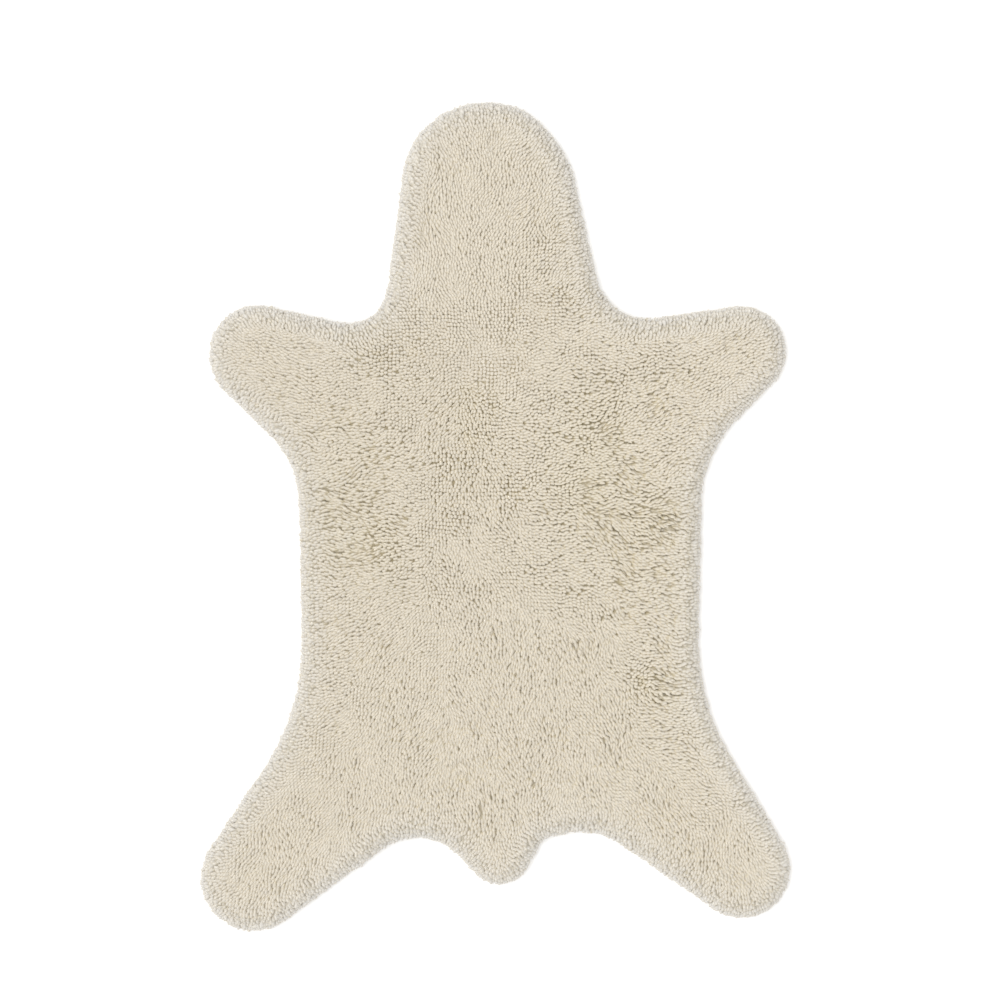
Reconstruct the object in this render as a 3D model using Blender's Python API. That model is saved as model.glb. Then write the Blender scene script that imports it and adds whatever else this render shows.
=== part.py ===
"""A kids' rug in the outline of a spread bear hide: one flat tufted wool panel with a shaggy rim.

The rug lies flat with its underside on the ground. Its origin is on the ground under the middle of
its length and width, with X across the rug and +Y towards the head.
"""

import math
import random
from collections import namedtuple

import bmesh
import bpy
from mathutils import Vector, noise
from mathutils.geometry import delaunay_2d_cdt

MM = 0.001
SAME_POINT = 1e-9  # metres; nearer points than this are taken as one

# The pile as it lies, in millimetres
PILE_TOP = 22.5  # from the ground to the tips of the pile, away from the rim
SWELL = 2.6  # how far the top swells and sinks in broad soft lumps
SWELL_SPAN = 95.0  # across one broad lump
CLUMP = 3.4  # the same for the clumps that neighbouring tufts make
CLUMP_SPAN = 38.0
TUFT_SPREAD = 0.5  # how much higher or lower one point of the pile stands than the next
TOP_GRID = 17.0  # between the points of the top
NOISE_PLANE = 0.5  # where in its third direction the noise is read, midway between its lattice points

# The locks of yarn that fan out along the rim
LOCKS = 288
LOCK_LENGTH_SPREAD = 1.3  # how much longer or shorter one is than the next
LOCK_DROOP_SPREAD = 1.0  # how much higher or lower its tip hangs
LOCK_SWAY = 0.3  # how far a lock leans along the rim, as a share of its width
LOCK_WIDTH_SPREAD = 0.16  # how far a groove lies off its even place, as a share of a lock's width
SEED = 7

# The wool: cream, with no shine
WOOL_COLOUR = (0.68, 0.61, 0.49, 1.0)
WOOL_ROUGHNESS = 0.95

# The outline is a belt drawn tight around these discs, anticlockwise from the crown of the head. A
# bulge lies inside the rug and a hollow outside it. Places and radii are in millimetres.
BULGE = 1
HOLLOW = -1
Disc = namedtuple("Disc", "place x y radius side")
DISCS = (
    Disc("crown, left", -18, 480, 118, BULGE),
    Disc("neck, left", -213, 336, 56, HOLLOW),
    Disc("front paw, left", -343, 234, 72, BULGE),
    Disc("armpit, left", -418, 20, 133, HOLLOW),
    Disc("flank, left", -612, -182, 331, HOLLOW),
    Disc("hind paw, left", -350, -523, 77, BULGE),
    Disc("crotch, left", -113, -545, 80, HOLLOW),
    Disc("tail", 6, -486, 47, BULGE),
    Disc("root of the tail, right", 91, -496, 34, HOLLOW),
    Disc("crotch, right", 124, -555, 98, HOLLOW),
    Disc("hind paw, right", 356, -510, 71, BULGE),
    Disc("flank, right", 614, -181, 319, HOLLOW),
    Disc("armpit, right", 476, 14, 178, HOLLOW),
    Disc("front paw, right", 355, 239, 66, BULGE),
    Disc("neck, right", 221, 363, 76, HOLLOW),
    Disc("cheek, right", -36, 451, 155, BULGE),
    Disc("crown, right", -12, 485, 115, BULGE),
)

# The rim from the ground up, in millimetres. A lock's crest and the groove beside it each have their
# reach, outwards from the outline, and their height. Free is how freely the lock strays there, from 0
# to 1.
Ring = namedtuple("Ring", "place crest_reach crest_height groove_reach groove_height free")
RINGS = (
    Ring("edge of the flat underside", -13.0, 0.0, -13.0, 0.0, 0.0),
    Ring("under the locks", -6.0, 1.2, -8.5, 1.8, 0.2),
    Ring("tips of the locks", 0.6, 4.6, -3.8, 6.2, 1.0),
    Ring("turn of the pile", -1.6, 12.5, -6.0, 12.0, 0.6),
    Ring("shoulder", -8.5, 19.4, -11.0, 17.6, 0.3),
)
TIP_RING = 2

# Where the pile parts and shows its depth, in millimetres
Parting = namedtuple("Parting", "place x y radius depth")
PARTINGS = (
    Parting("head, right", 83, 412, 34, 3.5),
    Parting("neck, right", 115, 328, 30, 3.0),
    Parting("shoulder, left", -182, 234, 34, 2.0),
    Parting("chest, middle", -44, 154, 42, 2.5),
    Parting("chest, right", 154, 118, 38, 2.5),
    Parting("back, right", 125, 38, 40, 3.0),
    Parting("flank, right", 231, -5, 36, 3.0),
    Parting("back, left", -164, -41, 40, 2.0),
    Parting("hip, right", 227, -247, 34, 3.5),
)


class Outline:
    """The belt around the discs, read by the distance along it."""

    def __init__(self, discs):
        self.stretches = []
        centres = [Vector((d.x, d.y)) for d in discs]
        radii = [d.radius * d.side for d in discs]
        leaving = [
            self.tangent_heading(centres[i], radii[i], centres[i_next], radii[i_next])
            for i, i_next in self.around(len(discs))
        ]
        for i, i_next in self.around(len(discs)):
            turn = self.turn(leaving[i - 1], leaving[i], discs[i].side)
            self.stretches.append(("arc", abs(turn * radii[i]), centres[i], radii[i], leaving[i - 1], turn))
            out = self.outwards(leaving[i])
            start = centres[i] + out * radii[i]
            end = centres[i_next] + out * radii[i_next]
            self.stretches.append(("line", (end - start).length, start, end, leaving[i], 0.0))
        self.length = sum(stretch[1] for stretch in self.stretches)

    @staticmethod
    def around(count):
        return [(i, (i + 1) % count) for i in range(count)]

    @staticmethod
    def outwards(heading):
        """The outward normal of an anticlockwise outline that runs along heading."""
        return Vector((math.sin(heading), -math.cos(heading)))

    @staticmethod
    def tangent_heading(centre, radius, next_centre, next_radius):
        """The heading of the belt's straight stretch from one disc to the next."""
        across = next_centre - centre
        return math.atan2(across.y, across.x) + math.asin((radius - next_radius) / across.length)

    @staticmethod
    def turn(arriving, leaving, side):
        """How far the belt turns on a disc: to the left on a bulge, to the right on a hollow."""
        full = 2 * math.pi
        left = (leaving - arriving) % full
        return left if side == BULGE else left - full

    def at(self, distance):
        """The point at a distance along the outline, and the outward normal there."""
        for kind, length, *shape in self.stretches:
            if distance <= length:
                break
            distance -= length
        share = min(distance / length, 1.0)
        if kind == "arc":
            centre, radius, heading, turn = shape
            out = self.outwards(heading + turn * share)
            return centre + out * radius, out
        start, end, heading, _ = shape
        return start.lerp(end, share), self.outwards(heading)


def soft_noise(point, span):
    """Noise from -1 to 1 whose soft lumps are about span across."""
    return noise.noise(Vector((point.x / span, point.y / span, NOISE_PLANE)))


def top_height(point, rng):
    """The height of the pile at a point of the top, away from the rim."""
    height = PILE_TOP + rng.uniform(-TUFT_SPREAD, TUFT_SPREAD)
    height += SWELL * soft_noise(point, SWELL_SPAN)
    height += CLUMP * soft_noise(point, CLUMP_SPAN)
    for parting in PARTINGS:
        away = (point - Vector((parting.x, parting.y))).length / parting.radius
        height -= parting.depth * math.exp(-(away**2))
    return height


def rim_rings(outline, rng):
    """The points of each ring of the rim, two to a lock: its groove, then its crest."""
    width = outline.length / LOCKS
    rings = [[] for _ in RINGS]
    for lock in range(LOCKS):
        longer = rng.uniform(-LOCK_LENGTH_SPREAD, LOCK_LENGTH_SPREAD)
        higher = rng.uniform(-LOCK_DROOP_SPREAD, LOCK_DROOP_SPREAD)
        sway = rng.uniform(-LOCK_SWAY, LOCK_SWAY) * width
        stray = rng.uniform(0, LOCK_WIDTH_SPREAD)
        groove_at, groove_out = outline.at((lock + stray) * width)
        crest_at, crest_out = outline.at((lock + 0.5) * width)
        along = Vector((-crest_out.y, crest_out.x))
        for points, ring in zip(rings, RINGS):
            groove = groove_at + groove_out * ring.groove_reach
            crest = crest_at + crest_out * (ring.crest_reach + longer * ring.free)
            crest += along * sway * ring.free
            points.append(Vector((groove.x, groove.y, ring.groove_height)))
            points.append(Vector((crest.x, crest.y, ring.crest_height + higher * ring.free)))
    return rings


def is_inside(point, loop):
    """True where a point lies inside a closed loop of points."""
    inside = False
    for a, b in zip(loop, loop[1:] + loop[:1]):
        if (a.y > point.y) != (b.y > point.y):
            inside ^= point.x < a.x + (b.x - a.x) * (point.y - a.y) / (b.y - a.y)
    return inside


def grid_points(loop):
    """A staggered grid of points over the loop's box, kept where they lie inside the loop."""
    low_x, high_x = min(p.x for p in loop), max(p.x for p in loop)
    low_y, high_y = min(p.y for p in loop), max(p.y for p in loop)
    row_gap = TOP_GRID * math.sqrt(0.75)
    points = []
    for row in range(int((high_y - low_y) / row_gap) + 1):
        shift = TOP_GRID / 2 * (row % 2)
        for column in range(int((high_x - low_x) / TOP_GRID) + 1):
            point = Vector((low_x + shift + column * TOP_GRID, low_y + row * row_gap))
            if is_inside(point, loop):
                points.append(point)
    return points


def fill(bm, border, inner, facing_up):
    """Fills the loop of vertices border with triangles through the inner vertices."""
    verts = border + inner
    edges = [(i, (i + 1) % len(border)) for i in range(len(border))]
    flat = [Vector((v.co.x, v.co.y)) for v in verts]
    inside_only = 1
    triangles = delaunay_2d_cdt(flat, edges, [], inside_only, SAME_POINT)[2]
    for triangle in triangles:
        corners = [verts[i] for i in triangle]
        bm.faces.new(corners if facing_up else corners[::-1])


def bridge(bm, lower, upper):
    """Joins two rings of the rim with triangles, mirrored about the crest of each lock."""
    for i in range(len(lower)):
        i_next = (i + 1) % len(lower)
        corners = (lower[i], lower[i_next], upper[i_next], upper[i])
        if i % 2:
            corners = corners[1:] + corners[:1]
        bm.faces.new((corners[0], corners[1], corners[2]))
        bm.faces.new((corners[0], corners[2], corners[3]))


def top_points(outline, rng):
    """The points of the top, as far in from the rim's last ring as they are from each other."""
    margin = RINGS[-1].groove_reach - TOP_GRID / 2
    stations = [outline.at(outline.length * i / LOCKS) for i in range(LOCKS)]
    loop = [point + out * margin for point, out in stations]
    return [Vector((p.x, p.y, top_height(p, rng))) for p in grid_points(loop)]


def middle(points):
    """The middle of the points' box, on the ground."""
    xs = [p.x for p in points]
    ys = [p.y for p in points]
    return Vector(((min(xs) + max(xs)) / 2, (min(ys) + max(ys)) / 2, 0.0))


def rug_mesh(name):
    """The whole rug as one closed body: flat underside, rim of locks, lumpy top."""
    rng = random.Random(SEED)
    outline = Outline(DISCS)
    rings = rim_rings(outline, rng)
    top = top_points(outline, rng)
    origin = middle(rings[TIP_RING])

    bm = bmesh.new()
    ring_verts = [[bm.verts.new((p - origin) * MM) for p in ring] for ring in rings]
    top_verts = [bm.verts.new((p - origin) * MM) for p in top]
    for lower, upper in zip(ring_verts, ring_verts[1:]):
        bridge(bm, lower, upper)
    fill(bm, ring_verts[-1], top_verts, facing_up=True)
    fill(bm, ring_verts[0], [], facing_up=False)

    mesh = bpy.data.meshes.new(name)
    bm.to_mesh(mesh)
    bm.free()
    mesh.shade_smooth()
    return mesh


def wool_material():
    """Cream undyed wool."""
    material = bpy.data.materials.new("cream_wool")
    material.use_nodes = True
    shader = material.node_tree.nodes["Principled BSDF"]
    shader.inputs["Base Color"].default_value = WOOL_COLOUR
    shader.inputs["Roughness"].default_value = WOOL_ROUGHNESS
    shader.inputs["Metallic"].default_value = 0.0
    material.diffuse_color = WOOL_COLOUR
    return material


def clear_scene():
    for old in list(bpy.data.objects):
        bpy.data.objects.remove(old, do_unlink=True)


clear_scene()
rug = bpy.data.objects.new("pile_rug", rug_mesh("pile_rug"))
rug.data.materials.append(wool_material())
bpy.context.scene.collection.objects.link(rug)
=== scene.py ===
import math
from collections import namedtuple

import bmesh
import bpy
import numpy as np
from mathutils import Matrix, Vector, kdtree, noise
from mathutils.geometry import delaunay_2d_cdt


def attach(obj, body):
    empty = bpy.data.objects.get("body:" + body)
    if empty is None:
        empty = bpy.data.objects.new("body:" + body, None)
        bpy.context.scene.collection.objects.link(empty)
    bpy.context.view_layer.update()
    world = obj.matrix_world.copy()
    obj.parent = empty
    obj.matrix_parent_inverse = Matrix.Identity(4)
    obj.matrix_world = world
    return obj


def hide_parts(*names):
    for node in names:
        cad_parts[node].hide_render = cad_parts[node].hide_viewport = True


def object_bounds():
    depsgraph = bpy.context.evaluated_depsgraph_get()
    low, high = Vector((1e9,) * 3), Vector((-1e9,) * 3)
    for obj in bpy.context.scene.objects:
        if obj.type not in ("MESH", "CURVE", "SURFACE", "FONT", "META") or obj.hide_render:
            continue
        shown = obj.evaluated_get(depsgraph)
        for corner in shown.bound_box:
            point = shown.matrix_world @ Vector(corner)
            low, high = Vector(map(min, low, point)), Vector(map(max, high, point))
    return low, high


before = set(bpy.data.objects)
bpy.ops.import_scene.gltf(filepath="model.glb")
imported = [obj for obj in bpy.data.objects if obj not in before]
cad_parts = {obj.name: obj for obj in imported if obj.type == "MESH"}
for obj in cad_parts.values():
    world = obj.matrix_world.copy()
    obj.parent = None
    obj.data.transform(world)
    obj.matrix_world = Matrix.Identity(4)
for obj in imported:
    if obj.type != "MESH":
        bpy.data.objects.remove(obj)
solid_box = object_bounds()


# -------------------------------------------------------------------------------------------------
# Ground cloth. A stout plain-woven cotton canvas, cut to the outline of the hide but a finger's
# width inside it, because the pile that it carries turns down over its edge. It lies flat on the
# floor.

MM = 0.001
CLOTH_INSET = 13.0 * MM  # from the rug's outline in to the cloth's cut edge
CLOTH_THICKNESS = 2.5 * MM
CLOTH_BEVEL = 0.6 * MM
CLOTH_EDGE_POINTS = 480
CLOTH_GRID = 24.0 * MM
CANVAS_THREADS = 1.6 * MM  # between one thread of the canvas and the next
CANVAS_BETWEEN_THREADS = (0.30, 0.25, 0.17, 1)
CANVAS_THREAD = (0.62, 0.55, 0.42, 1)

# The outline is a belt drawn tight around these discs, anticlockwise from the crown of the head. A
# bulge lies inside the rug and a hollow outside it. Places and radii are in millimetres.
BULGE = 1
HOLLOW = -1
Disc = namedtuple("Disc", "place x y radius side")
DISCS = (
    Disc("crown, left", -18, 480, 118, BULGE),
    Disc("neck, left", -213, 336, 56, HOLLOW),
    Disc("front paw, left", -343, 234, 72, BULGE),
    Disc("armpit, left", -418, 20, 133, HOLLOW),
    Disc("flank, left", -612, -182, 331, HOLLOW),
    Disc("hind paw, left", -350, -523, 77, BULGE),
    Disc("crotch, left", -113, -545, 80, HOLLOW),
    Disc("tail", 6, -486, 47, BULGE),
    Disc("root of the tail, right", 91, -496, 34, HOLLOW),
    Disc("crotch, right", 124, -555, 98, HOLLOW),
    Disc("hind paw, right", 356, -510, 71, BULGE),
    Disc("flank, right", 614, -181, 319, HOLLOW),
    Disc("armpit, right", 476, 14, 178, HOLLOW),
    Disc("front paw, right", 355, 239, 66, BULGE),
    Disc("neck, right", 221, 363, 76, HOLLOW),
    Disc("cheek, right", -36, 451, 155, BULGE),
    Disc("crown, right", -12, 485, 115, BULGE),
)
BELT_STEPS = 60  # points on each arc of the belt, and on each straight


def outwards(heading):
    """The outward normals of an anticlockwise outline that runs along these headings."""
    return np.stack([np.sin(heading), -np.cos(heading)], -1)


def belt(discs):
    """Close points along the belt around the discs, and the outward normal at each."""
    centres = np.array([(d.x, d.y) for d in discs]) * MM
    radii = np.array([d.radius * d.side for d in discs]) * MM
    across = np.roll(centres, -1, axis=0) - centres
    lengths = np.hypot(*across.T)
    bend = np.arcsin((radii - np.roll(radii, -1)) / lengths)
    leaving = np.arctan2(across[:, 1], across[:, 0]) + bend
    share = np.arange(BELT_STEPS) / BELT_STEPS
    points, normals = [], []
    for i, disc in enumerate(discs):
        i_next = (i + 1) % len(discs)
        turn = (leaving[i] - leaving[i - 1]) % math.tau
        turn -= 0 if disc.side == BULGE else math.tau
        out = outwards(leaving[i - 1] + turn * share)
        points.append(centres[i] + out * radii[i])
        normals.append(out)
        out = np.repeat(outwards(leaving[i : i + 1]), BELT_STEPS, axis=0)
        start = centres[i] + out * radii[i]
        end = centres[i_next] + out * radii[i_next]
        points.append(start + (end - start) * share[:, None])
        normals.append(out)
    return np.concatenate(points), np.concatenate(normals)


EDGE, EDGE_OUT = belt(DISCS)
EDGE -= (EDGE.min(0) + EDGE.max(0)) / 2 - np.array((solid_box[0] + solid_box[1])[:2]) / 2

edge_tree = kdtree.KDTree(len(EDGE))
for number, point in enumerate(EDGE):
    edge_tree.insert((*point, 0.0), number)
edge_tree.balance()


def along_edge(count, inset=0.0, shift=0.0):
    """Evenly spaced points along the outline, moved in from it, and the outward normals there."""
    points = EDGE - EDGE_OUT * inset
    closed = np.vstack([points, points[:1]])
    closed_out = np.vstack([EDGE_OUT, EDGE_OUT[:1]])
    run = np.r_[0, np.cumsum(np.hypot(*np.diff(closed, axis=0).T))]
    at = (np.arange(count) + shift) / count * run[-1]
    place = np.stack([np.interp(at, run, closed[:, k]) for k in (0, 1)], -1)
    out = np.stack([np.interp(at, run, closed_out[:, k]) for k in (0, 1)], -1)
    return place, out / np.hypot(*out.T)[:, None]


def depth_inside(points):
    """How far each point lies inside the outline, and the normal of the outline nearest it."""
    nearest = [edge_tree.find((x, y, 0.0))[1] for x, y in points]
    out = EDGE_OUT[nearest]
    return ((EDGE[nearest] - np.asarray(points)) * out).sum(1), out


def square_grid(pitch):
    """The points of a square grid over the outline's box."""
    low, high = EDGE.min(0), EDGE.max(0)
    xs, ys = (np.arange(low[k] + pitch / 2, high[k], pitch) for k in (0, 1))
    return np.stack(np.meshgrid(xs, ys), -1).reshape(-1, 2)


def cut_edge(bm, steps):
    """Makes the faces round a cut edge, through steps of inset and height. Returns its loops."""
    loops = []
    for inset, height in steps:
        points, _ = along_edge(CLOTH_EDGE_POINTS, inset)
        loops.append([bm.verts.new((x, y, height)) for x, y in points])
    for lower, upper in zip(loops, loops[1:]):
        for i in range(CLOTH_EDGE_POINTS):
            i_next = (i + 1) % CLOTH_EDGE_POINTS
            bm.faces.new((lower[i], lower[i_next], upper[i_next], upper[i]))
    return loops


def fill_loop(bm, loop, inner, facing_up):
    """Fills a loop with triangles through the inner vertices."""
    verts = loop + inner
    edges = [(i, (i + 1) % len(loop)) for i in range(len(loop))]
    inside_only = 1
    same_point = 1e-9
    flat = [v.co.xy for v in verts]
    for triangle in delaunay_2d_cdt(flat, edges, [], inside_only, same_point)[2]:
        corners = [verts[i] for i in triangle]
        bm.faces.new(corners if facing_up else corners[::-1])


def finished_mesh(bm, name):
    mesh = bpy.data.meshes.new(name)
    bm.to_mesh(mesh)
    bm.free()
    return mesh


def make_cloth():
    """The cut cloth as a closed sheet with softly broken edges."""
    bm = bmesh.new()
    steps = (
        (CLOTH_INSET + CLOTH_BEVEL, 0.0),
        (CLOTH_INSET, CLOTH_BEVEL),
        (CLOTH_INSET, CLOTH_THICKNESS - CLOTH_BEVEL),
        (CLOTH_INSET + CLOTH_BEVEL, CLOTH_THICKNESS),
    )
    loops = cut_edge(bm, steps)
    grid = square_grid(CLOTH_GRID)
    grid = grid[depth_inside(grid)[0] > CLOTH_INSET + CLOTH_GRID / 2]
    for loop, height, facing_up in ((loops[0], 0.0, False), (loops[-1], CLOTH_THICKNESS, True)):
        inner = [bm.verts.new((x, y, height)) for x, y in grid]
        fill_loop(bm, loop, inner, facing_up)
    return finished_mesh(bm, "ground_cloth")


class Thread:
    """One socket of a node tree. Arithmetic on it adds Math nodes, and node() adds any other."""

    def __init__(self, socket):
        self.socket = socket

    @staticmethod
    def node(tree, kind, settings=None, sockets=None, output=0):
        """Adds a node with its settings first, then its sockets' values or links."""
        made = tree.nodes.new(kind)
        for name, value in (settings or {}).items():
            if name == "stops":
                Thread.set_stops(made.color_ramp, value)
            else:
                setattr(made, name, value)
        for name, value in (sockets or {}).items():
            if isinstance(value, Thread):
                tree.links.new(value.socket, made.inputs[name])
            else:
                made.inputs[name].default_value = value
        return Thread(made.outputs[output]) if made.outputs else None

    @staticmethod
    def set_stops(ramp, stops):
        while len(ramp.elements) < len(stops):
            ramp.elements.new(1.0)
        for element, (position, colour) in zip(ramp.elements, stops):
            element.position = position
            element.color = colour

    def output(self, name):
        """Another output of the same node."""
        return Thread(self.socket.node.outputs[name])

    def math(self, operation, *values):
        tree = self.socket.id_data
        settings = {"operation": operation}
        return Thread.node(tree, "ShaderNodeMath", settings, dict(enumerate(values)))

    def __add__(self, other):
        return self.math("ADD", self, other)

    def __sub__(self, other):
        return self.math("SUBTRACT", self, other)

    def __rsub__(self, other):
        return self.math("SUBTRACT", other, self)

    def __mul__(self, other):
        return self.math("MULTIPLY", self, other)

    def __pow__(self, other):
        return self.math("POWER", self, other)

    __radd__ = __add__
    __rmul__ = __mul__


def textile(name, roughness, sheen):
    """A material with a lone matt Principled shader, and its tree."""
    material = bpy.data.materials.new(name)
    material.use_nodes = True
    shader = material.node_tree.nodes["Principled BSDF"]
    shader.inputs["Roughness"].default_value = roughness
    shader.inputs["Sheen Weight"].default_value = sheen
    shader.inputs["Specular IOR Level"].default_value = 0.25
    return material, material.node_tree


def noise_through(tree, place, scale, detail):
    sockets = {"Vector": place, "Scale": scale, "Detail": detail}
    return Thread.node(tree, "ShaderNodeTexNoise", {}, sockets, "Fac")


def colour_ramp(tree, amount, *stops):
    return Thread.node(tree, "ShaderNodeValToRGB", {"stops": stops}, {"Fac": amount}, "Color")


def colour_mix(tree, amount, colour, other):
    first, second, result = 6, 7, 2  # the colour sockets of a Mix node, which share their names
    sockets = {"Factor": amount, first: colour, second: other}
    return Thread.node(tree, "ShaderNodeMix", {"data_type": "RGBA"}, sockets, result)


def dress_shader(tree, colour, height, strength, distance):
    """Gives the shader its colour and a bump of this height."""
    sockets = {"Height": height, "Strength": strength, "Distance": distance}
    bump = Thread.node(tree, "ShaderNodeBump", {}, sockets)
    shader = tree.nodes["Principled BSDF"]
    tree.links.new(colour.socket, shader.inputs["Base Color"])
    tree.links.new(bump.socket, shader.inputs["Normal"])


def canvas_material():
    """Unbleached canvas: threads over and under one another, slubs and a few darker patches."""
    material, tree = textile("unbleached_canvas", roughness=0.95, sheen=0.1)
    place = Thread.node(tree, "ShaderNodeTexCoord", output="Object")
    axes = Thread.node(tree, "ShaderNodeSeparateXYZ", {}, {"Vector": place})
    warp = axes.output("X") * (math.pi / CANVAS_THREADS)
    weft = axes.output("Y") * (math.pi / CANVAS_THREADS)
    over = warp.math("SINE", warp) * weft.math("SINE", weft)
    weave = over.math("ABSOLUTE", over) ** 0.5
    slubs = noise_through(tree, place, scale=320.0, detail=3.0)
    patches = noise_through(tree, place, scale=9.0, detail=4.0)
    shade = weave * 0.35 + slubs * 0.35 + patches * 0.3
    colour = colour_ramp(tree, shade, (0.25, CANVAS_BETWEEN_THREADS), (0.75, CANVAS_THREAD))
    dress_shader(tree, colour, height=slubs, strength=0.6, distance=0.5 * MM)
    return material


cloth = bpy.data.objects.new("ground_cloth", make_cloth())
bpy.context.scene.collection.objects.link(cloth)
cloth.data.materials.append(canvas_material())
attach(cloth, "root")
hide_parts("pile_rug")


# -------------------------------------------------------------------------------------------------
# Bed of fluff. Soft fibres of the wool fill the pile between the tufts and hide their roots and
# the cloth. The bed follows the top of the pile a little way down, so the lay of the hide and the
# height of the pile are given here.

YARN_LENGTH = 22.5 * MM  # from the cloth to the cut end
ROOT_HEIGHT = 3.8 * MM
MOST_LEAN = 17.0 * MM  # how far the end of a tuft that lies down is from its root
FLATTEST = 0.85  # the same, at most, as a share of the yarn's length
PILE_HEIGHT = 22.0 * MM  # of the ends of the tufts, away from the edge
SHOULDER = 17.0 * MM  # how far in from the outline the pile begins to turn down
SHOULDER_DROP = 17.0 * MM  # how far the pile comes down to the outline
SHOULDER_ROUNDNESS = 2.2
SHOULDER_EASE = 0.6 * MM  # how much the pile comes down before that, from three times as far in
EDGE_LEAN = 11.0 * MM  # how far the tufts lean outwards at the edge
EDGE_LEAN_INSETS = (15 * MM, 40 * MM)  # they all do so up to the first, and none past the second

# The edge of the bed, by distance in from the outline and height, in millimetres
BED_EDGE = ((6.5, 2.7), (6.5, 10.5), (9.5, 15.3), (13.5, 18.3), (18.0, 20.0))
BED_DEPTHS = (1.6 * MM, 3.2 * MM)  # below the ends of the tufts, at the edge and in the middle
BED_DEPTH_INSETS = (12 * MM, 60 * MM)  # where it goes from one to the other
BED_SINKS = 0.9 * MM  # how much deeper it lies where the pile stands open
BED_SINKS_INSETS = (15 * MM, 60 * MM)
BED_GRID = 10.0 * MM
# The bed's colours are painted shade of the depth of the pile: dark ochre, dappled between shaded
# and lit, and paler where less shade is painted
BED_SHADED = (0.41, 0.35, 0.225, 1)
BED_LIT = (0.58, 0.51, 0.36, 1)
BED_UNSHADED = (0.635, 0.60, 0.53, 1)  # at the edge of the rug, and in part where the pile is sleek
BED_UNSHADED_REACH = 28 * MM
BED_UNSHADED_WHERE_SLEEK = 0.4
SLEEK = 0.7  # the pile is sleek where it is less open than this
USUAL_OPENNESS = 0.4

# Which way the pile lies, in degrees anticlockwise from the right, and how flat, from 0 to 1, at
# places of the hide in millimetres
Lay = namedtuple("Lay", "place x y heading lean")
LAYS = (
    Lay("crown", -22, 570, 75, 0.8),
    Lay("forehead, left", -100, 500, 88, 0.8),
    Lay("forehead", -30, 490, 82, 0.8),
    Lay("temple, right", 64, 500, 56, 0.8),
    Lay("cheek, left", -108, 400, 91, 0.8),
    Lay("muzzle", -35, 400, 88, 0.8),
    Lay("brow, right", 64, 420, 42, 0.7),
    Lay("cheek, right", 125, 380, 12, 0.8),
    Lay("jaw, left", -80, 335, 91, 0.7),
    Lay("jaw", 0, 335, 82, 0.7),
    Lay("jaw, right", 122, 325, 22, 0.7),
    Lay("neck", -20, 275, 95, 0.35),
    Lay("neck, right", 70, 280, 318, 0.45),
    Lay("shoulder, left", -170, 235, 140, 0.6),
    Lay("fore leg, left", -280, 225, 163, 0.75),
    Lay("front paw, left", -385, 215, 165, 0.8),
    Lay("breast, left", -100, 215, 200, 0.45),
    Lay("breast", 0, 215, 350, 0.2),
    Lay("breast, right", 110, 220, 0, 0.65),
    Lay("shoulder, right", 190, 230, 345, 0.6),
    Lay("fore leg, right", 290, 225, 19, 0.75),
    Lay("front paw, right", 370, 215, 6, 0.8),
    Lay("armpit, left", -270, 140, 173, 0.8),
    Lay("ribs, top left", -180, 140, 186, 0.75),
    Lay("chest, left", -105, 140, 225, 0.6),
    Lay("chest", -45, 120, 262, 0.4),
    Lay("chest, right", 50, 130, 0, 0.65),
    Lay("ribs, top right", 150, 140, 4, 0.7),
    Lay("armpit, right", 270, 140, 8, 0.8),
    Lay("ribs, left", -215, 25, 180, 0.85),
    Lay("back, left", -150, 30, 186, 0.8),
    Lay("spine, upper", -45, 25, 270, 0.65),
    Lay("spine, upper right", 15, 30, 290, 0.55),
    Lay("back, right", 90, 25, 358, 0.7),
    Lay("ribs, right", 210, 20, 355, 0.85),
    Lay("flank, left", -215, -90, 186, 0.85),
    Lay("waist, left", -150, -85, 182, 0.75),
    Lay("spine", -60, -95, 270, 0.7),
    Lay("spine, right", 30, -80, 320, 0.55),
    Lay("waist, right", 110, -75, 345, 0.7),
    Lay("flank, right", 220, -80, 347, 0.85),
    Lay("loin, left", -150, -180, 228, 0.7),
    Lay("loin", 0, -180, 269, 0.8),
    Lay("loin, right", 140, -170, 285, 0.75),
    Lay("hip, left", -225, -190, 190, 0.8),
    Lay("hip, right", 240, -170, 343, 0.8),
    Lay("rump, left", -150, -270, 240, 0.8),
    Lay("rump", 0, -270, 268, 0.85),
    Lay("rump, right", 145, -270, 282, 0.8),
    Lay("haunch, left", -260, -310, 205, 0.75),
    Lay("haunch, right", 260, -300, 345, 0.75),
    Lay("buttock, left", -180, -370, 245, 0.8),
    Lay("buttocks", -20, -380, 267, 0.85),
    Lay("buttock, right", 140, -370, 274, 0.85),
    Lay("thigh, left", -320, -400, 212, 0.75),
    Lay("inner thigh, left", -250, -430, 248, 0.8),
    Lay("thigh, right", 310, -390, 342, 0.75),
    Lay("inner thigh, right", 240, -410, 298, 0.8),
    Lay("hind leg, left", -290, -490, 253, 0.8),
    Lay("hind leg, right", 290, -480, 278, 0.8),
    Lay("hind paw, left", -385, -520, 222, 0.8),
    Lay("hind paw, right", 350, -520, 276, 0.8),
    Lay("toes, left", -340, -580, 247, 0.8),
    Lay("tail", 0, -480, 265, 0.75),
)
LAY_SPAN = 42.0 * MM  # how soon one lay gives way to the next

# Where the pile parts: the tufts lean away from the middle, within the radius, in millimetres
Parting = namedtuple("Parting", "place x y radius strength")
PARTINGS = (
    Parting("head, right", 83, 412, 34, 0.35),
    Parting("neck, right", 115, 328, 30, 0.3),
    Parting("shoulder, left", -182, 234, 34, 0.25),
    Parting("chest", -44, 154, 42, 0.25),
    Parting("chest, right", 154, 118, 38, 0.3),
    Parting("back, right", 125, 38, 40, 0.3),
    Parting("flank, right", 231, -5, 36, 0.3),
    Parting("back, left", -164, -41, 40, 0.25),
    Parting("hip, right", 227, -247, 34, 0.35),
)
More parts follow.
